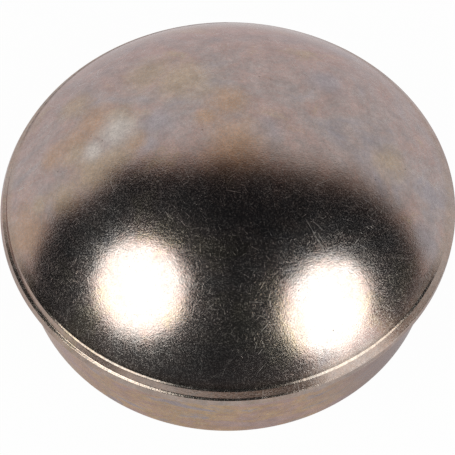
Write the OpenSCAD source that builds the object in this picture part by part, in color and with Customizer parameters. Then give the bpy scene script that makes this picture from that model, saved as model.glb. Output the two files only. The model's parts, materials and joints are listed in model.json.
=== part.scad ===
// Dust cap for a wheel hub, drawn and folded from one disc of sheet steel.
// Millimetres. +Z runs up the cap's axis, and the origin is the centre of the skirt's open edge.
// The sheet runs down the crown, flares out, turns back under itself round the rim and drops
// as the skirt. Every outline below is a half section, with the radius as X and the height as Y.

/* [Sheet] */
// Thickness of the sheet
sheet_t = 1.5; // [1.4:0.05:1.6]

/* [Skirt] */
// Outer diameter of the skirt, which is pressed into the hub's bore
skirt_d = 90; // [89:0.1:90.6]
// Height of the skirt, from its open edge to the seat under the rim
skirt_h = 18.9; // [16:0.1:21]
// Radius on the outside of the open edge, which leads the skirt into the bore
lead_in_r = 0.6; // [0.3:0.1:0.9]
// Chamfer on the inside of the open edge
trim_chamfer = 0.25; // [0.1:0.05:0.4]
// Inside radius of the corner between skirt and seat
seat_corner_r = 0.3; // [0.2:0.05:0.4]

/* [Rim] */
// Diameter over the lip, the widest ring of the cap
lip_d = 94.2; // [93.8:0.1:95]
// Height of the lip's upper edge above the seat
lip_h = 1.65; // [1.5:0.05:1.75]
// Lean of the lip's face, from upright, in degrees
lip_lean = 17; // [12:1:22]
// Radius on the lower edge of the lip
lip_lower_r = 0.45; // [0.35:0.05:0.6]
// Radius on the upper edge of the lip
lip_upper_r = 0.15; // [0.1:0.05:0.2]
// Fall of the narrow ledge between band and lip, from level, in degrees
ledge_fall = 20; // [15:1:26]
// Diameter of the rim's upper edge, where the flange ends
edge_d = 91; // [90.6:0.1:91.2]
// Height of the rim's upper edge above the seat
edge_h = 3; // [2.85:0.05:3.2]
// Radius on the rim's upper edge
edge_r = 0.3; // [0.2:0.05:0.4]
// Lean of the band between ledge and upper edge, from upright, in degrees
band_lean = 34; // [30:1:35]
// Radius of the hollow corner between ledge and band
hollow_r = 0.4; // [0.3:0.05:0.5]
// Gap left between the two folded layers
fold_gap = 0.1; // [0.1:0.02:0.16]

/* [Crown] */
// Overall height of the cap
cap_h = 40.7; // [39:0.1:43]
// Width of the narrow flange at the crown's foot, up its slope
flange_w = 0.4; // [0.4:0.05:0.8]
// Fall of the flange, from level, in degrees
flange_fall = 29; // [26:1:32]
// Radius of the flare that runs the crown into the flange
flare_r = 0.7; // [0.4:0.1:0.9]
// Inside radius where the crown's sheet turns out into the fold
throat_r = 2; // [1.6:0.1:2.4]

/* [Hidden] */
$fn = 180;

skirt_r = skirt_d / 2;
bore_r = skirt_r - sheet_t;
lip_r = lip_d / 2;
seat_z = skirt_h;

// A rounding's circle is this much larger than the radius given, so that it crosses its
// neighbours instead of only touching them.
bite = 0.004;
// Length by which a cut runs past the face that it opens
past = 1;

// Seat corner: the bend between skirt and fold, hollow outside and round inside
seat_bend = [skirt_r + seat_corner_r, seat_z - seat_corner_r];

// Rim: the sharp upper edge, and the ways down the band and in along the flange from it
edge = [edge_d / 2, seat_z + edge_h];
down_band = [sin(band_lean), -cos(band_lean)];
up_flange = [-cos(flange_fall), sin(flange_fall)];
off_flange = [sin(flange_fall), cos(flange_fall)];

// Lip: the lower rounding, and the face that leans inwards from it to the sharp upper edge
lip_mid = [lip_r - lip_lower_r, seat_z + lip_lower_r];
up_lip = [-sin(lip_lean), cos(lip_lean)];
face_foot = lip_mid + (lip_lower_r - bite) * [cos(lip_lean), sin(lip_lean)];
lip_edge = face_foot + (seat_z + lip_h - face_foot[1]) / up_lip[1] * up_lip;

// Ledge: the way in along it from the lip, and the rounding of the lip's upper edge
up_ledge = [-cos(ledge_fall), sin(ledge_fall)];
off_ledge = [sin(ledge_fall), cos(ledge_fall)];
lip_reach = lip_upper_r * tan((90 - ledge_fall - lip_lean) / 2);
lip_top_mid = lip_edge + lip_reach * up_ledge - lip_upper_r * off_ledge;

// Hollow corner where the ledge meets the band
band_run = cross(lip_edge - edge, up_ledge) / cross(down_band, up_ledge);
band_foot = edge + band_run * down_band;
hollow_reach = hollow_r * tan((90 - band_lean - ledge_fall) / 2);
hollow_mid = band_foot - hollow_reach * up_ledge + hollow_r * off_ledge;

// Rounding of the upper edge
edge_reach = edge_r * tan((90 - band_lean - flange_fall) / 2);
edge_mid = edge + edge_reach * up_flange - edge_r * off_flange;

// Crown: the sphere that meets the flange and comes up to the cap's height
crown_corner = edge + flange_w * up_flange;
crown_rise = cap_h - crown_corner[1];
crown_r = (pow(crown_corner[0], 2) + pow(crown_rise, 2)) / (2 * crown_rise);
crown_mid = [0, cap_h - crown_r];

// Flare: a circle that touches the flange and the crown from outside
flare_from = edge + flare_r * off_flange - crown_mid;
flare_run = -flare_from * up_flange
    - sqrt(pow(flare_from * up_flange, 2) - flare_from * flare_from + pow(crown_r + flare_r, 2));
flare_mid = crown_mid + flare_from + flare_run * up_flange;
crown_foot = crown_mid + (flare_mid - crown_mid) * crown_r / (crown_r + flare_r);

// Fold: the slit between the layers, and the throat where the crown's sheet turns into it
slit_z = seat_z + sheet_t;
slit_end = lip_r - sheet_t;
inner_crown_r = crown_r - sheet_t;
throat_z = slit_z + fold_gap + throat_r;
throat_mid = [sqrt(pow(inner_crown_r + throat_r, 2) - pow(throat_z - crown_mid[1], 2)), throat_z];
inner_foot = crown_mid + (throat_mid - crown_mid) * inner_crown_r / (inner_crown_r + throat_r);

module disc(mid, r) {
    translate(mid) circle(r);
}

// The part of a circle about crown_mid that lies above one of its own points
module dome_half(r, foot) {
    intersection() {
        disc(crown_mid, r);
        translate([0, foot[1]]) square([foot[0] + past, crown_mid[1] + r - foot[1] + past]);
    }
}

// Everything inside the outer skin
module outer_half() {
    difference() {
        union() {
            polygon([
                [0, 0],
                [skirt_r - lead_in_r, 0],
                [skirt_r, lead_in_r],
                [skirt_r, seat_bend[1]],
                [seat_bend[0], seat_z],
                [lip_mid[0], seat_z],
                face_foot,
                lip_edge - lip_reach * up_lip,
                lip_edge + lip_reach * up_ledge,
                band_foot - hollow_reach * up_ledge,
                band_foot - hollow_reach * down_band,
                edge + edge_reach * down_band,
                edge + edge_reach * up_flange,
                edge + flare_run * up_flange,
                crown_foot,
                [0, crown_foot[1]]
            ]);
            disc([skirt_r - lead_in_r, lead_in_r], lead_in_r);
            disc(lip_mid, lip_lower_r);
            disc(lip_top_mid, lip_upper_r + bite);
            disc(edge_mid, edge_r + bite);
            dome_half(crown_r, crown_foot);
        }
        disc(seat_bend, seat_corner_r);
        disc(hollow_mid, hollow_r + bite);
        disc(flare_mid, flare_r + bite);
    }
}

// The hollow inside the cap, out to the end of the slit in the fold
module hollow_half() {
    difference() {
        union() {
            polygon([
                [0, -past],
                [bore_r + trim_chamfer + past, -past],
                [bore_r, trim_chamfer],
                [bore_r, seat_bend[1]],
                [seat_bend[0], slit_z],
                [slit_end, slit_z],
                [slit_end, slit_z + fold_gap],
                [throat_mid[0], slit_z + fold_gap],
                inner_foot,
                [0, inner_foot[1]]
            ]);
            disc([slit_end, slit_z + fold_gap / 2], fold_gap / 2);
            dome_half(inner_crown_r, inner_foot);
        }
        disc(seat_bend, seat_corner_r + sheet_t);
        disc(throat_mid, throat_r + bite);
    }
}

module dust_cap() {
    color([0.40, 0.33, 0.28])
        rotate_extrude()
            difference() {
                outer_half();
                hollow_half();
            }
}

dust_cap();
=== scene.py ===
"""Dust cap for a wheel hub: its visual model, in metres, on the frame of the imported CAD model.

The cap is one piece of zinc-plated sheet steel. Its half section is drawn with a pen, as the
sheet runs, and spun round the cap's axis. The file is laid out as an add-on and run as a script.
"""

import json
from math import atan2, cos, hypot, pi, radians, sin, sqrt, tan

import bmesh
import bpy
from bpy.props import FloatProperty, FloatVectorProperty, IntProperty, PointerProperty
from bpy.types import Operator, Panel, PropertyGroup
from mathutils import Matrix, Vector


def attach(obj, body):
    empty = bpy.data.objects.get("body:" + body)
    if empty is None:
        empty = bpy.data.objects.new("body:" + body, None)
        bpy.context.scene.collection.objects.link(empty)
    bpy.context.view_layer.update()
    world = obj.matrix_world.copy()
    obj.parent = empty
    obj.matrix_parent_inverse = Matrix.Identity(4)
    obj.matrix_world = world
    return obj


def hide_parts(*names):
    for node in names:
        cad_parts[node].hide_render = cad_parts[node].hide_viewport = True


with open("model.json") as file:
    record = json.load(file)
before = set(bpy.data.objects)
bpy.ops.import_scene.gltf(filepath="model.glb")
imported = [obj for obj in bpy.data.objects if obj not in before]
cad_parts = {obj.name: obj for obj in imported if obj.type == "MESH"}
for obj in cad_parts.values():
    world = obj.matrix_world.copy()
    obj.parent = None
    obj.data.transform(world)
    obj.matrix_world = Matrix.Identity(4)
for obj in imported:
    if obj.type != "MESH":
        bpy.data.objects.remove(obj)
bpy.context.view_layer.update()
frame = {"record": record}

bl_info = {
    "name": "Wheel hub dust cap",
    "version": (1, 0, 0),
    "blender": (4, 5, 0),
    "location": "3D View > Sidebar > Dust Cap",
    "description": "Builds a folded sheet steel dust cap with its plated finish, and a studio for it",
    "category": "Add Mesh",
}

MM = 0.001
RECORD = frame["record"]
MOUNTS = {mount["name"]: mount for mount in RECORD["mounts"]}
BOX_SIZE = RECORD["size"]["bbox_m"]

SKIRT_RADIUS = MOUNTS["skirt"]["dims"]["r_mm"] * MM
SEAT_HEIGHT = MOUNTS["seat"]["pos_m"][2]
LIP_RADIUS = BOX_SIZE[0] / 2
CAP_HEIGHT = BOX_SIZE[2]

# Slack where the section ends on the axis, reach for merging vertices, and gap above the floor
AXIS_SLACK = 0.01 * MM
WELD = 0.002 * MM
FLOOR_GAP = 0.05 * MM


def length(name, default, text, limit=0.1):
    """A length that the user may change"""
    return FloatProperty(
        name=name, description=text, default=default, min=0.0, max=limit, precision=5, unit="LENGTH"
    )


def angle(name, default, text):
    """An angle that the user may change"""
    return FloatProperty(
        name=name, description=text, default=radians(default), min=-pi, max=pi, subtype="ANGLE"
    )


def share(name, default, text, limit=1.0):
    """A plain number that the user may change"""
    return FloatProperty(name=name, description=text, default=default, min=0.0, max=limit, precision=3)


def colour(name, default, text):
    """A linear colour that the user may change"""
    return FloatVectorProperty(
        name=name, description=text, default=default, size=3, min=0.0, max=1.0, subtype="COLOR"
    )


class CapSizes(PropertyGroup):
    """Sizes of the cap's section"""

    sheet: length("Sheet", 1.5 * MM, "Thickness of the sheet")
    skirt_radius: length("Skirt radius", SKIRT_RADIUS, "Outer radius of the skirt")
    seat_height: length("Seat height", SEAT_HEIGHT, "Height of the seat under the rim")
    lead_in: length("Lead-in radius", 0.6 * MM, "Radius outside the open edge")
    trim: length("Trim chamfer", 0.25 * MM, "Chamfer inside the open edge")
    seat_corner: length("Seat corner radius", 0.3 * MM, "Outer radius between skirt and seat")
    lip_radius: length("Lip radius", LIP_RADIUS, "Radius of the widest ring")
    lip_height: length("Lip height", 1.65 * MM, "Height of the lip's upper edge above the seat")
    lip_lean: angle("Lip lean", 17, "Lean of the lip's face, from upright")
    lip_lower: length("Lip lower radius", 0.45 * MM, "Rounding under the lip")
    lip_upper: length("Lip upper radius", 0.15 * MM, "Rounding on the lip's upper edge")
    ledge_fall: angle("Ledge fall", 20, "Fall of the ledge between lip and band, from level")
    edge_radius: length("Edge ring radius", 45.5 * MM, "Radius of the rim's upper edge")
    edge_height: length("Edge height", 3.0 * MM, "Height of the upper edge above the seat")
    edge_round: length("Edge rounding", 0.3 * MM, "Rounding on the upper edge")
    band_lean: angle("Band lean", 34, "Lean of the band between ledge and upper edge, from upright")
    hollow: length("Hollow radius", 0.4 * MM, "Hollow corner between ledge and band")
    fold_gap: length("Fold gap", 0.1 * MM, "Gap between the folded layers")
    cap_height: length("Cap height", CAP_HEIGHT, "Height of the whole cap")
    flange: length("Flange width", 0.4 * MM, "Width of the flange at the crown's foot")
    flange_fall: angle("Flange fall", 29, "Fall of the flange, from level")
    flare: length("Flare radius", 0.7 * MM, "Radius between crown and flange")
    throat: length("Throat radius", 2.0 * MM, "Inside radius above the fold")
    set_over: length("Set over", 0.26 * MM, "How far the crown sits to one side of the lip")
    hollow_over: length("Hollow set over", 0.36 * MM, "How much further the hollow corner does")
    hollow_way: angle("Hollow set towards", -20, "Side to which the hollow corner is set, from +X")
    spin_steps: IntProperty(
        name="Steps round", description="Faces round the cap", default=300, min=24, max=400
    )


class PlateFinish(PropertyGroup):
    """Colours and wear of the zinc plate"""

    plate: colour("Plate", (0.370, 0.300, 0.284), "Plain colour of the passivated zinc")
    lavender: colour("Lavender tint", (0.330, 0.290, 0.305), "Thin parts of the film")
    rose: colour("Rose tint", (0.402, 0.286, 0.260), "Pinkish parts of the film")
    straw: colour("Straw tint", (0.412, 0.312, 0.228), "Yellowish parts of the film")
    copper: colour("Copper tint", (0.435, 0.283, 0.195), "Thick warm parts of the film")
    bare: colour("Bare tint", (0.560, 0.500, 0.455), "Pale spots with hardly any film")
    worn: colour("Worn tint", (0.355, 0.330, 0.312), "Bare zinc in the scratches")
    skirt_tint: colour("Skirt tint", (0.500, 0.345, 0.170), "Warmer film on the skirt")
    roughness: share("Roughness", 0.135, "Roughness of the clean plate")
    grain: share("Grain", 1.0, "Strength of the fine grain of the plate", 4.0)
    scratches: share("Scratches", 1.0, "Strength of the handling scratches", 4.0)


class StudioSetup(PropertyGroup):
    """Floor, backdrop, lamps and camera"""

    floor_width: length("Floor width", 0.22, "Width of the floor", 10.0)
    floor_depth: length("Floor depth", 0.30, "Depth of the floor", 10.0)
    floor_front: length("Floor front", 0.19, "How far the floor comes forward from the axis", 10.0)
    backdrop_level: share("Backdrop level", 0.885, "Brightness of the pale backdrop")
    glow: share("Glow", 0.65, "How much brighter the room is below the right lamp", 10.0)
    lamp_distance: length("Lamp distance", 0.45, "Distance of both lamps from the cap", 5.0)
    left_radius: length("Left lamp radius", 0.156, "Radius of the left lamp across its width", 1.0)
    left_tall: share("Left lamp height", 0.94, "Height of the left lamp over its width", 4.0)
    left_azimuth: angle("Left lamp azimuth", -56.3, "Direction of the left lamp, from the front")
    left_elevation: angle("Left lamp elevation", 46.6, "Height of the left lamp, from level")
    right_radius: length("Right lamp radius", 0.1565, "Radius of the right lamp across its width", 1.0)
    right_tall: share("Right lamp height", 0.89, "Height of the right lamp over its width", 4.0)
    right_azimuth: angle("Right lamp azimuth", 53.9, "Direction of the right lamp, from the front")
    right_elevation: angle("Right lamp elevation", 39.0, "Height of the right lamp, from level")
    lamp_level: share("Lamp level", 4.25, "Radiance of both lamps", 100.0)
    lamp_tint: colour("Lamp tint", (0.95, 1.0, 0.95), "Colour of both lamps")
    lens: share("Lens", 79.82, "Focal length of the camera in millimetres", 500.0)
    camera_tilt: angle("Camera tilt", 31.769, "Tilt of the camera, from looking straight down")


class SectionPen:
    """Draws a half section in the XZ plane, as a chain of edges that grows from its tip"""

    def __init__(self, mesh, start):
        self.mesh = mesh
        self.tip = bmesh.ops.create_vert(mesh, co=(start[0], 0.0, start[1]))["vert"][0]

    def line(self, end, parts=1):
        """Draws a straight line to a point, in equal parts"""
        stride = (Vector((end[0], 0.0, end[1])) - self.tip.co) / parts
        for _ in range(parts):
            self.tip = bmesh.ops.extrude_vert_indiv(self.mesh, verts=[self.tip])["verts"][0]
            bmesh.ops.translate(self.mesh, vec=stride, verts=[self.tip])

    def turn(self, middle, sweep, steps):
        """Turns the tip about a point, by an angle that is positive from +Z towards +X"""
        arc = bmesh.ops.spin(
            self.mesh,
            geom=[self.tip],
            cent=(middle[0], 0.0, middle[1]),
            axis=(0.0, 1.0, 0.0),
            angle=sweep,
            steps=steps,
        )
        self.tip = next(part for part in arc["geom_last"] if isinstance(part, bmesh.types.BMVert))


def crown_corner(s):
    """Radius of the ring where the flange meets the crown, and radius of the crown's sphere"""
    corner_x = s.edge_radius - s.flange * cos(s.flange_fall)
    corner_z = s.seat_height + s.edge_height + s.flange * sin(s.flange_fall)
    rise = s.cap_height - corner_z
    return corner_x, (corner_x**2 + rise**2) / (2 * rise)


def edge_turn(s):
    """Angle that the rounded upper edge turns through, and how far it reaches to both sides"""
    turn = pi / 2 - s.band_lean - s.flange_fall
    return turn, s.edge_round * tan(turn / 2)


def draw_section(pen, s):
    """Draws the cap's section, from the top of the crown round the rim and skirt to its inside"""
    down_band = Vector((sin(s.band_lean), -cos(s.band_lean)))
    up_flange = Vector((-cos(s.flange_fall), sin(s.flange_fall)))
    off_flange = Vector((sin(s.flange_fall), cos(s.flange_fall)))
    edge = Vector((s.edge_radius, s.seat_height + s.edge_height))

    # Crown: the sphere that meets the flange and comes up to the cap's height
    crown_radius = crown_corner(s)[1]
    crown_mid = Vector((0.0, s.cap_height - crown_radius))

    # Flare: a circle that touches the flange and the crown from outside
    flare_from = edge + s.flare * off_flange - crown_mid
    along = flare_from.dot(up_flange)
    reach = (crown_radius + s.flare) ** 2 - flare_from.length_squared
    flare_mid = crown_mid + flare_from + (-along - sqrt(along**2 + reach)) * up_flange
    to_flare = flare_mid - crown_mid
    foot_angle = atan2(to_flare.x, to_flare.y)

    over_edge, edge_reach = edge_turn(s)
    edge_mid = edge + edge_reach * up_flange - s.edge_round * off_flange

    # Lip: the lower rounding, the leaning face and its upper edge
    lip_mid = Vector((s.lip_radius - s.lip_lower, s.seat_height + s.lip_lower))
    off_lip = Vector((cos(s.lip_lean), sin(s.lip_lean)))
    up_lip = Vector((-sin(s.lip_lean), cos(s.lip_lean)))
    face_low = lip_mid + s.lip_lower * off_lip
    lip_edge = face_low + (s.seat_height + s.lip_height - face_low.y) / up_lip.y * up_lip
    up_ledge = Vector((-cos(s.ledge_fall), sin(s.ledge_fall)))
    off_ledge = Vector((sin(s.ledge_fall), cos(s.ledge_fall)))
    lip_turn = pi / 2 - s.ledge_fall - s.lip_lean
    lip_reach = s.lip_upper * tan(lip_turn / 2)
    lip_top_mid = lip_edge + lip_reach * up_ledge - s.lip_upper * off_ledge

    # Hollow corner where the ledge meets the band
    band_run = (lip_edge - edge).cross(up_ledge) / down_band.cross(up_ledge)
    band_foot = edge + band_run * down_band
    hollow_turn = pi / 2 - s.band_lean - s.ledge_fall
    hollow_reach = s.hollow * tan(hollow_turn / 2)
    hollow_mid = band_foot - hollow_reach * up_ledge + s.hollow * off_ledge

    # Crown, flare, flange and the rounded upper edge
    pen.turn(crown_mid, foot_angle, 96)
    pen.turn(flare_mid, s.flange_fall - foot_angle, 8)
    pen.line(edge + edge_reach * up_flange)
    pen.turn(edge_mid, over_edge, 6)

    # Band, hollow corner and lip
    pen.line(band_foot - hollow_reach * down_band, 2)
    pen.turn(hollow_mid, -hollow_turn, 5)
    pen.line(lip_edge + lip_reach * up_ledge)
    pen.turn(lip_top_mid, lip_turn, 5)
    pen.line(face_low, 2)
    pen.turn(lip_mid, pi / 2 + s.lip_lean, 10)

    # Seat, corner and skirt, and the rounded open edge
    bend_mid = (s.skirt_radius + s.seat_corner, s.seat_height - s.seat_corner)
    pen.line((bend_mid[0], s.seat_height))
    pen.turn(bend_mid, -pi / 2, 5)
    pen.line((s.skirt_radius, s.lead_in), 8)
    pen.turn((s.skirt_radius - s.lead_in, s.lead_in), pi / 2, 6)
    bore_radius = s.skirt_radius - s.sheet
    pen.line((bore_radius + s.trim, 0.0))
    pen.line((bore_radius, s.trim))

    # Bore, bend into the fold, the slit between the layers and its round end
    pen.line((bore_radius, bend_mid[1]), 4)
    pen.turn(bend_mid, pi / 2, 8)
    slit_z = s.seat_height + s.sheet
    slit_end = s.lip_radius - s.sheet
    pen.line((slit_end, slit_z))
    pen.turn((slit_end, slit_z + s.fold_gap / 2), -pi, 6)

    # Throat above the fold, and the inside of the crown up to its top
    inner_radius = crown_radius - s.sheet
    throat_z = slit_z + s.fold_gap + s.throat
    throat_x = sqrt((inner_radius + s.throat) ** 2 - (throat_z - crown_mid.y) ** 2)
    throat_angle = atan2(throat_x, throat_z - crown_mid.y)
    pen.line((throat_x, slit_z + s.fold_gap))
    pen.turn((throat_x, throat_z), throat_angle, 8)
    pen.turn(crown_mid, -throat_angle, 60)


def share_of(start, end, value):
    """How far a value has come from start to end, held between 0 and 1"""
    return min(max((value - start) / (end - start), 0.0), 1.0)


def smoothstep(low, high, value):
    """0 below low, 1 above high, and a smooth rise between them"""
    t = share_of(low, high, value)
    return t * t * (3 - 2 * t)


def set_over_rings(mesh, s):
    """Sets the crown over to one side of the lip, and the hollow corner a little further"""
    lip_low = s.seat_height + s.lip_lower
    lip_high = s.seat_height + s.lip_height
    hollow_rise = 0.18 * MM
    hollow_z = lip_high + hollow_rise
    edge_z = s.seat_height + s.edge_height
    hollow_way = Vector((cos(s.hollow_way), sin(s.hollow_way)))
    for vert in mesh.verts:
        if vert.co.xy.length > s.skirt_radius - s.sheet:
            near = share_of(lip_high, hollow_z, vert.co.z)
            near = min(near, share_of(edge_z, hollow_z, vert.co.z))
            vert.co.xy += s.hollow_over * near * hollow_way
        vert.co.x += s.set_over * smoothstep(lip_low, lip_high, vert.co.z)


def fade_flange(mesh, s):
    """Levels the flange out into the crown where the rim was pressed less

    That is from the right side to the back, and along a stretch of the left side. The crown is
    joined to the rounded upper edge there by a straight slope.
    """
    # The slope's upper end is on the crown, and its lower end where the rounding is as steep
    inward = 1.1 * MM
    steep = radians(43)
    corner_x, crown_radius = crown_corner(s)
    from_x = corner_x - inward
    from_z = s.cap_height - crown_radius + sqrt(crown_radius**2 - from_x**2)
    reach = edge_turn(s)[1]
    to_x = s.edge_radius - reach * cos(s.flange_fall)
    to_x += s.edge_round * (sin(steep) - sin(s.flange_fall))
    to_z = s.seat_height + s.edge_height + reach * sin(s.flange_fall)
    to_z += s.edge_round * (cos(steep) - cos(s.flange_fall))

    # Angles from the front at which the flange is gone, and the angle over which it fades. It
    # comes back behind the left side, between two shares of the radius.
    gone_right = radians(64)
    gone_left = radians(56)
    fading = radians(12)
    back_from = 0.06
    back_full = 0.26
    for vert in mesh.verts:
        out = hypot(vert.co.x - s.set_over, vert.co.y)
        if vert.co.z > to_z and from_x < out < to_x:
            gone = gone_right if vert.co.x > 0 else gone_left
            kept = smoothstep(cos(gone), cos(gone - fading), -vert.co.y / out)
            if vert.co.x < 0:
                kept = max(kept, smoothstep(back_from, back_full, vert.co.y / out))
            slope = from_z + (to_z - from_z) * share_of(from_x, to_x, out)
            vert.co.z += max(slope - vert.co.z, 0.0) * (1.0 - kept)


def make_piece(name, mesh, material):
    """Turns a bmesh into an object that stands for a CAD node"""
    data = bpy.data.meshes.new(name)
    mesh.to_mesh(data)
    mesh.free()
    data.materials.append(material)
    piece = bpy.data.objects.new(name, data)
    bpy.context.scene.collection.objects.link(piece)
    return piece


class Wire:
    """An output socket with Python's arithmetic, which adds Math nodes"""

    def __init__(self, bench, socket):
        self.bench = bench
        self.socket = socket

    def maths(self, operation, *values):
        """Adds one Math node"""
        return self.bench.add("ShaderNodeMath", {"operation": operation}, dict(enumerate(values)))

    def __add__(self, other):
        return self.maths("ADD", self, other)

    __radd__ = __add__

    def __sub__(self, other):
        return self.maths("SUBTRACT", self, other)

    def __rsub__(self, other):
        return self.maths("SUBTRACT", other, self)

    def __mul__(self, other):
        return self.maths("MULTIPLY", self, other)

    __rmul__ = __mul__

    def above(self, limit):
        """1 where the value is over a limit"""
        return self.maths("GREATER_THAN", self, limit)

    def size(self):
        """The value without its sign"""
        return self.maths("ABSOLUTE", self)

    def most(self, other):
        """The larger of two values"""
        return self.maths("MAXIMUM", self, other)

    def ramp(self, low, high, start=0.0, end=1.0):
        """A smooth rise from start to end while the value goes from low to high"""
        inputs = {"Value": self, "From Min": low, "From Max": high, "To Min": start, "To Max": end}
        return self.bench.add("ShaderNodeMapRange", {"interpolation_type": "SMOOTHSTEP"}, inputs)


class Bench:
    """Adds nodes to one node tree"""

    def __init__(self, tree):
        self.tree = tree
        tree.nodes.clear()

    def add(self, kind, settings=None, inputs=None, output=0):
        """Adds a node: first its settings, then the values or links of its sockets"""
        node = self.tree.nodes.new(kind)
        for name, value in (settings or {}).items():
            if name == "stops":
                ramp = node.color_ramp
                while len(ramp.elements) < len(value):
                    ramp.elements.new(0.5)
                for element, (place, tint) in zip(ramp.elements, value):
                    element.position = place
                    element.color = (*tint, 1.0)
            else:
                setattr(node, name, value)
        for name, value in (inputs or {}).items():
            if isinstance(value, Wire):
                self.tree.links.new(value.socket, node.inputs[name])
            else:
                node.inputs[name].default_value = value
        return Wire(self, node.outputs[output]) if node.outputs else None

    def vector(self, operation, *values, output="Vector"):
        """Adds one Vector Math node"""
        inputs = dict(enumerate(values))
        return self.add("ShaderNodeVectorMath", {"operation": operation}, inputs, output)

    def split(self, vector):
        """The three parts of a vector"""
        node = self.add("ShaderNodeSeparateXYZ", None, {"Vector": vector}).socket.node
        return [Wire(self, socket) for socket in node.outputs]

    def join(self, x, y, z):
        """A vector from its three parts"""
        return self.add("ShaderNodeCombineXYZ", None, {"X": x, "Y": y, "Z": z})

    def blend(self, factor, first, second, mode="MIX"):
        """Mixes two colours, for which the node has sockets 6 and 7 and output 2"""
        settings = {"data_type": "RGBA", "blend_type": mode}
        return self.add("ShaderNodeMix", settings, {0: factor, 6: first, 7: second}, 2)

    def noise(self, vector, scale, detail, roughness, distortion=0.0):
        """Noise between 0 and 1, with its scale in cells per metre"""
        inputs = {
            "Vector": vector,
            "Scale": scale,
            "Detail": detail,
            "Roughness": roughness,
            "Distortion": distortion,
        }
        return self.add("ShaderNodeTexNoise", {"noise_dimensions": "3D"}, inputs)

    def cells(self, vector, scale):
        """Random cells: distance to the cell's middle, in cells, its three dice, and its middle"""
        settings = {"voronoi_dimensions": "3D", "feature": "F1"}
        near = self.add("ShaderNodeTexVoronoi", settings, {"Vector": vector, "Scale": scale})
        outputs = near.socket.node.outputs
        return near, self.split(Wire(self, outputs["Color"])), Wire(self, outputs["Position"])

    def hue_ramp(self, value, stops):
        """A colour for each value between 0 and 1"""
        return self.add("ShaderNodeValToRGB", {"stops": stops}, {"Fac": value})


def four(tint):
    """A colour property as a socket takes it"""
    return (*tint, 1.0)


def hairlines(bench, place, cell, width, kept, upright):
    """Short straight scratches, one to a cell, each where a random plane cuts the surface.

    cell is the size of a cell and width half the width of a scratch, both in metres. kept is
    the share of cells that have one, and upright how far the planes may lean from upright.
    """
    near, dice, middle = bench.cells(place, 1.0 / cell)
    across = bench.join(dice[0] - 0.5, dice[1] - 0.5, (dice[2] - 0.5) * upright)
    across = bench.vector("NORMALIZE", across)
    offset = bench.vector("SUBTRACT", place, middle)
    away = bench.vector("DOT_PRODUCT", offset, across, output="Value").size()
    line = away.ramp(0.0, width, 1.0, 0.0)
    ends = near.ramp(0.25, 0.50, 1.0, 0.0)
    return line * ends * dice[2].ramp(1.0 - kept, 1.15 - kept * 0.35)


# Layers of scratches: size of a cell and half the width in millimetres, and the share of cells kept
SCRATCH_LAYERS = (
    (9.0, 0.085, 0.40),
    (3.6, 0.070, 0.70),
    (2.1, 0.048, 0.75),
    (1.3, 0.026, 1.00),
    (0.8, 0.019, 1.00),
)

# Spots of the film on the crown: their tint, and the middle and reach of each in millimetres.
# The rows are laid over each other in this order.
FILM_SPOTS = (
    ("lavender", ((-13.5, 3, 39.2, 5), (-15.6, -1.3, 38.8, 3), (7.4, 0.4, 40.3, 4), (38, -15, 26, 5))),
    ("lavender", ((20, 16.5, 35.2, 5),)),
    ("copper", ((-30.5, 3, 33, 5.5), (-27, 7, 34.5, 6), (1.5, -3.5, 40.5, 8), (-39.5, -13, 25.2, 8))),
    ("copper", ((-34.5, 1.5, 30.5, 4), (-18, -0.5, 38.1, 3), (0, 7.5, 40.3, 5), (-4, 3.5, 40.5, 3))),
    ("copper", ((-26, -5.5, 34.9, 4),)),
    ("straw", ((32, -1.5, 32, 5), (-37, -9, 28, 3), (-30.2, 0, 33.2, 3.5))),
    ("straw", ((-16, 18.6, 35.8, 7), (-9, 15, 38, 8), (-31.5, 14, 30.5, 5), (-26, -5.5, 35, 6))),
    ("straw", ((-32, -9.5, 31.3, 5), (-21, -3, 37.2, 4), (-20.8, 6, 36.9, 4))),
    ("bare", ((-21.4, 3, 36.9, 5), (-26.3, -0.5, 35, 3))),
)
SPOT_COVER = 0.92

# Middle of the part of the crown that was handled least, and of a clean spot low on the left
LEAST_RUBBED = (0.012, -0.006, 0.038)
CLEAN_SPOT = (-0.035, -0.020, 0.027)


def film_tint_and_painted_shade(bench, place, finish, on_skirt, on_rim):
    """Tint of the film: patches and spots on the crown and warmer streaks on the skirt, and painted
    shade that cools the skirt towards the right
    """
    across = bench.split(place)[0]
    patch = bench.noise(place, 52.0, 6.0, 0.72, 0.6)
    tint = bench.hue_ramp(
        patch,
        [(0.36, finish.lavender), (0.46, finish.plate), (0.56, finish.rose), (0.66, finish.straw)],
    )

    # Spots with frayed edges
    fray = bench.noise(place, 150.0, 5.0, 0.65) - 0.5
    for spot_tint, spots in FILM_SPOTS:
        mask = 0.0
        for x, y, z, reach in spots:
            middle = (x * MM, y * MM, z * MM)
            away = bench.vector("DISTANCE", place, middle, output="Value") + fray * reach * 1.4 * MM
            mask = away.ramp(0.1 * reach * MM, 1.2 * reach * MM, 1.0, 0.0).most(mask)
        tint = bench.blend(mask * SPOT_COVER, tint, four(getattr(finish, spot_tint)))

    # Streaks round the skirt, painted shade that makes it cooler towards the right, and a trace of straw
    # on the rim
    flat_place = bench.vector("MULTIPLY", place, (1.0, 1.0, 3.0))
    streak = bench.noise(flat_place, 65.0, 6.0, 0.72, 0.5)
    skirt_tint = bench.hue_ramp(
        streak,
        [(0.39, finish.lavender), (0.46, finish.skirt_tint), (0.53, finish.copper), (0.59, finish.rose)],
    )
    tint = bench.blend(on_skirt * 0.95, tint, skirt_tint)
    # Painted shade: a cooler lavender tint towards the skirt's right
    tint = bench.blend(on_skirt * across.ramp(0.012, 0.034) * 0.6, tint, four(finish.lavender))
    return bench.blend(on_rim * (1.0 - on_skirt) * 0.4, tint, four(finish.straw))


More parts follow.
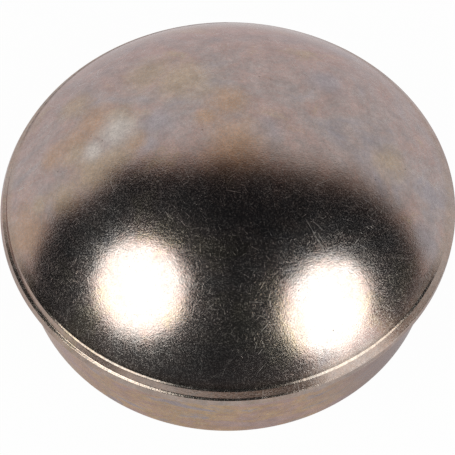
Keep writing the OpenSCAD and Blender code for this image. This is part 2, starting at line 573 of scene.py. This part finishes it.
def scratch_lines(bench, place, on_skirt):
    """Handling scratches of five sizes, slightly bent, and more of them in some places"""
    warp = bench.noise(place, 180.0, 1.0, 0.5)
    bent = bench.vector("ADD", place, bench.join(warp * 0.0012, warp * -0.0009, 0.0))
    lean = 0.15 + on_skirt * 1.2
    lines = 0.0
    for cell, half_width, kept in SCRATCH_LAYERS:
        lines = hairlines(bench, bent, cell * MM, half_width * MM, kept, lean).most(lines)
    return lines * bench.noise(place, 130.0, 3.0, 0.6).ramp(0.38, 0.62, 0.5, 1.0)


def pit_spots(bench, place):
    """Small dark pits, in a quarter of the cells"""
    near, dice, _ = bench.cells(place, 450.0)
    return near.ramp(0.05, 0.11, 1.0, 0.0) * dice[0].above(0.75)


def fold_painted_shade(place_parts, rim_top):
    """Painted shade along the crown's foot, which dims the flange's highlight, with little of it at both
    sides and more at the back left
    """
    across, along, height = place_parts
    fold_shade = height.ramp(rim_top - 0.1 * MM, rim_top)
    fold_shade = fold_shade * height.ramp(rim_top + 0.35 * MM, rim_top + 0.8 * MM, 1.0, 0.0)
    fold_shade = fold_shade * across.ramp(0.006, 0.020, 1.0, 0.7) * across.ramp(-0.006, -0.020, 1.0, 0.8)
    back_left = across.ramp(-0.028, -0.034) * along.ramp(0.008, 0.014)
    return fold_shade * across.size().ramp(0.032, 0.039, 1.0, 0.1).most(back_left * 1.3)


def zinc_plate(finish, sizes):
    """Passivated zinc on pressed steel, with tints, streaks, grain, pits and hairline scratches"""
    material = bpy.data.materials.new("zinc_plated_steel")
    material.use_nodes = True
    bench = Bench(material.node_tree)
    place = bench.add("ShaderNodeTexCoord", output="Object")
    place_parts = bench.split(place)
    across, _, height = place_parts
    seat = sizes.seat_height
    rim_top = seat + sizes.edge_height
    on_skirt = height.ramp(seat - 0.4 * MM, seat + 0.2 * MM, 1.0, 0.0)
    on_lip = height.ramp(seat + 1.4 * MM, seat + 1.8 * MM, 1.0, 0.0)
    on_rim = height.ramp(rim_top + 0.2 * MM, rim_top + 1.6 * MM, 1.0, 0.0)

    # Grain from coarse to fine, with its scale in cells per metre
    mottle = bench.noise(place, 260.0, 4.0, 0.6)
    freckle = bench.noise(place, 1100.0, 3.0, 0.7)
    fine = bench.noise(place, 3200.0, 2.0, 0.6)
    speck = bench.noise(place, 3600.0, 2.0, 0.7).ramp(0.46, 0.66)
    lines = scratch_lines(bench, place, on_skirt)
    pit = pit_spots(bench, place)

    # Shade: the grain and marks, painted shade in the crown's fold, and painted shade on the lip and
    # skirt
    shade = mottle.ramp(0.25, 0.75, 0.86, 1.12)
    shade = shade * freckle.ramp(0.25, 0.75, 0.89, 1.11)
    shade = shade * fine.ramp(0.2, 0.8, 0.90, 1.10)
    shade = shade * (1.0 - lines * 0.18 * finish.scratches) * (1.0 - pit * 0.35)
    # Painted shade in the fold at the crown's foot, which dims the flange's highlight
    fold_shade = fold_painted_shade(place_parts, rim_top) * freckle.ramp(0.35, 0.65, 0.15, 0.65)
    # Painted shade: the lip's lower part and the skirt a little darker all round
    shade = shade * (1.0 - fold_shade) * (1.0 - on_lip * 0.06)
    # Painted shade: the skirt and the lip's lower part darker towards their right
    shade = shade * (1.0 - on_skirt * across.ramp(0.016, 0.036) * 0.38)
    shade = shade * (1.0 - on_lip * across.ramp(0.026, 0.040) * 0.25)
    tint = film_tint_and_painted_shade(bench, place, finish, on_skirt, on_rim)
    tint = bench.blend((lines * 0.8).most(speck * 0.5), tint, four(finish.worn))
    base = bench.blend(1.0, tint, bench.join(shade, shade, shade), "MULTIPLY")

    roughness = finish.roughness + (mottle - 0.5) * 0.06 + lines * 0.24 * finish.scratches
    roughness = roughness + pit * 0.2 + speck * 0.13 * finish.grain
    roughness = roughness + on_rim * 0.02 + on_skirt * 0.06

    # Haze: a rough coat over specks and scratches, stronger towards the crown's foot
    haze = 0.10 + speck * 0.20 * finish.grain + lines * 0.74 * finish.scratches
    rubbed = bench.vector("DISTANCE", place, LEAST_RUBBED, output="Value").ramp(0.012, 0.028, 0.85, 1.85)
    crown_foot = height.ramp(0.0315, 0.0265) * (1.0 - on_rim)
    clean = bench.vector("DISTANCE", place, CLEAN_SPOT, output="Value").ramp(0.005, 0.014, 0.65, 1.0)
    haze = haze * (1.0 - on_skirt * 0.6) * (rubbed + crown_foot) * clean

    relief = fine * 3.0 * finish.grain - lines * 0.9 * finish.scratches - pit * 0.8
    relief = relief + bench.noise(place, 1400.0, 2.0, 0.5) * 1.2 * finish.grain
    normal = bench.add(
        "ShaderNodeBump", None, {"Strength": 1.0, "Distance": 0.005 * MM, "Height": relief}
    )
    surface = bench.add(
        "ShaderNodeBsdfPrincipled",
        None,
        {
            "Base Color": base,
            "Metallic": 1.0,
            "Roughness": roughness,
            "Specular Tint": (0.82, 0.72, 0.72, 1.0),
            "Coat Weight": haze,
            "Coat Roughness": 0.38,
            "Coat IOR": 1.8,
            "Normal": normal,
        },
    )
    bench.add("ShaderNodeOutputMaterial", None, {"Surface": surface})
    return material


def floor_paint():
    """Plain pale floor, which shows white to the camera and keeps a faint shadow"""
    material = bpy.data.materials.new("floor_paint")
    material.use_nodes = True
    bench = Bench(material.node_tree)
    rays = bench.add("ShaderNodeLightPath").socket.node.outputs
    camera = Wire(bench, rays["Is Camera Ray"])
    glossy = Wire(bench, rays["Is Glossy Ray"])
    seen = (camera * 0.975).most(glossy * 0.64)
    matt = bench.add("ShaderNodeBsdfDiffuse", None, {"Color": (0.80, 0.80, 0.80, 1.0)})
    white = bench.add("ShaderNodeEmission", None, {"Color": (1.0, 1.0, 1.0, 1.0), "Strength": 1.0})
    surface = bench.add("ShaderNodeMixShader", None, {0: seen, 1: matt, 2: white})
    bench.add("ShaderNodeOutputMaterial", None, {"Surface": surface})
    return material


# Tint of the dark room, the light that still reaches its front, and the haze of the backdrop's edge
DARK_ROOM = (0.009, 0.0105, 0.0135)
FRONT_LIGHT = (0.040, 0.036, 0.034, 1.0)
EDGE_DARK = (0.22, 0.17, 0.14)
EDGE_PALE = (0.75, 0.68, 0.62)


def backdrop_sky(studio):
    """World: a pale backdrop behind, pale low down too, and a dark room above and in front"""
    world = bpy.data.worlds.new("studio_room")
    world.use_nodes = True
    bench = Bench(world.node_tree)
    way = bench.add("ShaderNodeTexCoord", output="Generated")
    x, y, z = bench.split(way)

    # How far back the backdrop starts, for each height. It starts further back in a band on the
    # left, and sooner on the right and high up at the far left.
    start = z * 1.73 - z * z * 1.13 - 0.245 - x.size() * (z - 0.45) * 0.25
    start = start + x.ramp(-0.74, -0.64) * x.ramp(-0.30, -0.60) * 0.035 - x.ramp(0.20, 0.50) * 0.03
    start = start - x.ramp(-0.62, -0.76) * z.ramp(0.35, 0.55) * 0.07

    # Its edge is softer in the middle and on the right than on the left
    soft = x.ramp(-0.45, 0.05)
    wall = (y - start + soft * 0.035).ramp(-0.07 - soft * 0.02, 0.11 + soft * 0.13)

    # The room is pale under the right lamp too, and near the floor but for the far left
    beside = (x * 0.766 - y * 0.643 + z * z * 0.5).ramp(0.925, 0.99) * z.size().ramp(0.55, 0.30)
    low = x.ramp(-0.85, -0.55) * z.ramp(0.27, -0.02)
    pale = wall.most(beside).most(low)
    level = studio.backdrop_level
    room = bench.hue_ramp(
        pale,
        [
            (0.00, DARK_ROOM),
            (0.35, [part * level for part in EDGE_DARK]),
            (0.70, [part * level for part in EDGE_PALE]),
            (1.00, (level, level, level)),
        ],
    )
    rays = bench.add("ShaderNodeLightPath").socket.node.outputs
    seen = Wire(bench, rays["Is Camera Ray"])
    front = y.ramp(-0.15, -0.45) * z.ramp(0.62, 0.30)
    room = bench.blend(front * (1.0 - pale), room, FRONT_LIGHT, "ADD")
    tint = bench.blend(seen, room, (1.0, 1.0, 1.0, 1.0))
    strength = 1.0 + beside * (1.0 - seen) * studio.glow
    light = bench.add("ShaderNodeBackground", None, {"Color": tint, "Strength": strength})
    bench.add("ShaderNodeOutputWorld", None, {"Surface": light})
    return world


# Points that the two lamps face, and the camera's place
LAMP_AIMS = {"left": (-0.016, -0.028, 0.032), "right": (0.019, -0.032, 0.029)}
CAMERA_PLACE = (0.0, -0.11706, 0.19455)


def hang_lamp(side, studio):
    """A soft lamp on one side; its azimuth is 0 in front and 90 degrees to the right"""
    azimuth = getattr(studio, side + "_azimuth")
    elevation = getattr(studio, side + "_elevation")
    radius = getattr(studio, side + "_radius")
    tall = getattr(studio, side + "_tall")
    way = Vector((sin(azimuth) * cos(elevation), -cos(azimuth) * cos(elevation), sin(elevation)))
    data = bpy.data.lights.new(side + "_lamp", "AREA")
    data.shape = "ELLIPSE"
    data.size = 2 * radius
    data.size_y = 2 * radius * tall
    face = pi * radius**2 * tall
    data.energy = studio.lamp_level * pi * face
    data.color = studio.lamp_tint
    lamp = bpy.data.objects.new(side + "_lamp", data)
    lamp.location = Vector(LAMP_AIMS[side]) + studio.lamp_distance * way
    lamp.rotation_euler = way.to_track_quat("Z", "Y").to_euler()
    lamp.visible_camera = False
    bpy.context.scene.collection.objects.link(lamp)


class DUSTCAP_OT_cap(Operator):
    """Builds the cap: draws its section, spins it round and gives it the plated finish"""

    bl_idname = "dustcap.cap"
    bl_label = "Build Cap"
    bl_options = {"REGISTER", "UNDO"}

    def execute(self, context):
        sizes = context.scene.cap_sizes
        mesh = bmesh.new()
        pen = SectionPen(mesh, (0.0, sizes.cap_height))
        draw_section(pen, sizes)
        if abs(pen.tip.co.x) > AXIS_SLACK:
            raise RuntimeError("The cap's section doesn't end on its axis")
        bmesh.ops.spin(
            mesh,
            geom=mesh.verts[:] + mesh.edges[:],
            cent=(0.0, 0.0, 0.0),
            axis=(0.0, 0.0, 1.0),
            angle=2 * pi,
            steps=sizes.spin_steps,
            use_merge=True,
        )
        bmesh.ops.remove_doubles(mesh, verts=mesh.verts[:], dist=WELD)
        bmesh.ops.recalc_face_normals(mesh, faces=mesh.faces[:])
        set_over_rings(mesh, sizes)
        fade_flange(mesh, sizes)
        for face in mesh.faces:
            face.smooth = True
        if any(not edge.is_manifold for edge in mesh.edges):
            raise RuntimeError("The cap isn't closed")
        cap = make_piece("plated_cap", mesh, zinc_plate(context.scene.plate_finish, sizes))
        even = cap.modifiers.new("Even normals", "WEIGHTED_NORMAL")
        even.keep_sharp = False
        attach(cap, "root")
        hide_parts("dust_cap")
        return {"FINISHED"}


class DUSTCAP_OT_studio(Operator):
    """Sets the floor, the room, the two lamps and the camera"""

    bl_idname = "dustcap.studio"
    bl_label = "Set Studio"
    bl_options = {"REGISTER", "UNDO"}

    def execute(self, context):
        scene = context.scene
        studio = scene.studio_setup
        mesh = bmesh.new()
        bmesh.ops.create_grid(mesh, x_segments=1, y_segments=1, size=0.5)
        bmesh.ops.scale(mesh, vec=(studio.floor_width, studio.floor_depth, 1.0), verts=mesh.verts[:])
        to_floor = Vector((0.0, studio.floor_depth / 2 - studio.floor_front, -FLOOR_GAP))
        bmesh.ops.translate(mesh, vec=to_floor, verts=mesh.verts[:])
        floor = make_piece("studio_floor", mesh, floor_paint())
        scene.world = backdrop_sky(studio)
        for side in LAMP_AIMS:
            hang_lamp(side, studio)
        data = bpy.data.cameras.new("studio_camera")
        data.lens = studio.lens
        data.sensor_width = 36.0
        data.clip_start = 0.01
        camera = bpy.data.objects.new("studio_camera", data)
        camera.location = CAMERA_PLACE
        camera.rotation_euler = (studio.camera_tilt, 0.0, 0.0)
        scene.collection.objects.link(camera)
        scene.camera = camera
        scene.view_settings.view_transform = "Standard"
        return {"FINISHED"}


class DUSTCAP_PT_sidebar(Panel):
    """Lists the cap's steps and settings"""

    bl_idname = "DUSTCAP_PT_sidebar"
    bl_label = "Dust Cap"
    bl_space_type = "VIEW_3D"
    bl_region_type = "UI"
    bl_category = "Dust Cap"

    def draw(self, context):
        steps = (
            ("dustcap.cap", ("cap_sizes", "plate_finish")),
            ("dustcap.studio", ("studio_setup",)),
        )
        for step, groups in steps:
            box = self.layout.box()
            for group in groups:
                settings = getattr(context.scene, group)
                for name in settings.__annotations__:
                    box.prop(settings, name)
            box.operator(step)


GROUPS = {"cap_sizes": CapSizes, "plate_finish": PlateFinish, "studio_setup": StudioSetup}
CLASSES = (*GROUPS.values(), DUSTCAP_OT_cap, DUSTCAP_OT_studio, DUSTCAP_PT_sidebar)


def register():
    """Registers the classes and gives the scene their settings"""
    for kind in CLASSES:
        bpy.utils.register_class(kind)
    for name, group in GROUPS.items():
        setattr(bpy.types.Scene, name, PointerProperty(type=group))


def unregister():
    """Takes the settings and the classes away again"""
    for name in GROUPS:
        delattr(bpy.types.Scene, name)
    for kind in reversed(CLASSES):
        bpy.utils.unregister_class(kind)


def main():
    """Builds the cap and its studio"""
    register()
    bpy.ops.dustcap.cap()
    bpy.ops.dustcap.studio()


if __name__ == "__main__":
    main()
